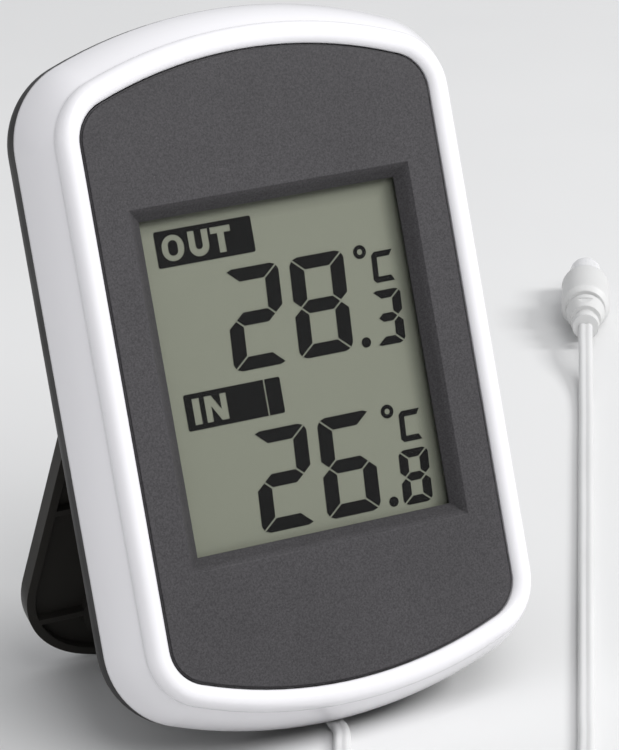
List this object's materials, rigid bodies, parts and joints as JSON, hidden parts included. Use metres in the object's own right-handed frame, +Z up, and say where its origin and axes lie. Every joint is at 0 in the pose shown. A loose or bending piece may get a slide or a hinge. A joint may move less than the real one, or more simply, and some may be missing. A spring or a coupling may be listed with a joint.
{
  "type": "maximum minimum thermometer",
  "caption": "Desk thermometer in a white rounded case, leaning back on a fold-out stand, with indoor and outdoor readings and a probe on a flat lead.",
  "frame": {"origin": "on the desk, under the middle of the case and its open stand", "axes": "+Z up, +X to the reader's right, the face looks towards -Y and leans back 19 degrees"},
  "size_m": [0.1636, 0.2137, 0.0965],
  "materials": {
    "white_gloss": "gloss",
    "grey_plate": "fine grain",
    "clear_window": "polished",
    "display_film": "satin",
    "display_glass": "polished",
    "reflector": "satin",
    "display_ink": "satin",
    "holder": "moulded",
    "zebra_rubber": "striped",
    "board": "solder mask",
    "steel": "plated",
    "potting": "epoxy",
    "chip_parts": "ceramic",
    "bead": "epoxy",
    "silicone": "satin",
    "button_plastic": "satin",
    "black_plastic": "satin",
    "black_gloss": "semi-gloss",
    "cell_jacket": "printed sleeve",
    "nickel": "nickel plate",
    "grommet_rubber": "satin",
    "lead_jacket": "satin",
    "probe_white": "satin",
    "capsule_white": "satin"
  },
  "bodies": {
    "case": {"front_frame": "white_gloss", "face_plate": "grey_plate", "window_lens": "clear_window", "display_polariser": "display_film", "display_glass": "display_glass", "display_reflector": "reflector", "display_bars": "display_ink", "display_frame": "holder", "zebra_strip": "zebra_rubber", "circuit_board": "board", "board_screws": "steel", "controller_chip": "potting", "crystal": "steel", "board_parts": "chip_parts", "indoor_thermistor": "bead", "key_pad": "silicone", "rear_cover": "black_plastic", "case_screws": "steel", "battery": "cell_jacket", "battery_contact_positive": "nickel", "battery_contact_negative": "nickel", "battery_spring": "nickel", "lead_grommet": "grommet_rubber", "lead_to_case": "lead_jacket", "lead_coil": "lead_jacket", "lead_to_probe": "lead_jacket", "probe_grip": "probe_white", "probe_capsule": "capsule_white", "probe_thermistor": "bead"},
    "stand": {"stand": "black_gloss"},
    "battery_door": {"battery_door": "black_plastic"},
    "max_min_button": {"max_min_button": "button_plastic"},
    "reset_button": {"reset_button": "button_plastic"}
  },
  "joints": [
    {"name": "stand_hinge", "type": "hinge", "parent": "case", "child": "stand", "pos_m": [0, 0.00386, 0.04415], "axis": [-1, 0, 0], "range_deg": [0, 43]},
    {"name": "battery_door_slide", "type": "slide", "parent": "case", "child": "battery_door", "axis": [0, 0.3256, 0.9455], "range_m": [0, 0.0024]},
    {"name": "max_min_press", "type": "slide", "parent": "case", "child": "max_min_button", "axis": [0, -0.9455, 0.3256], "range_m": [0, 0.0006], "stiffness_N_per_m": 1500},
    {"name": "reset_press", "type": "slide", "parent": "case", "child": "reset_button", "axis": [0, -0.9455, 0.3256], "range_m": [0, 0.0006], "stiffness_N_per_m": 1500}
  ]
}
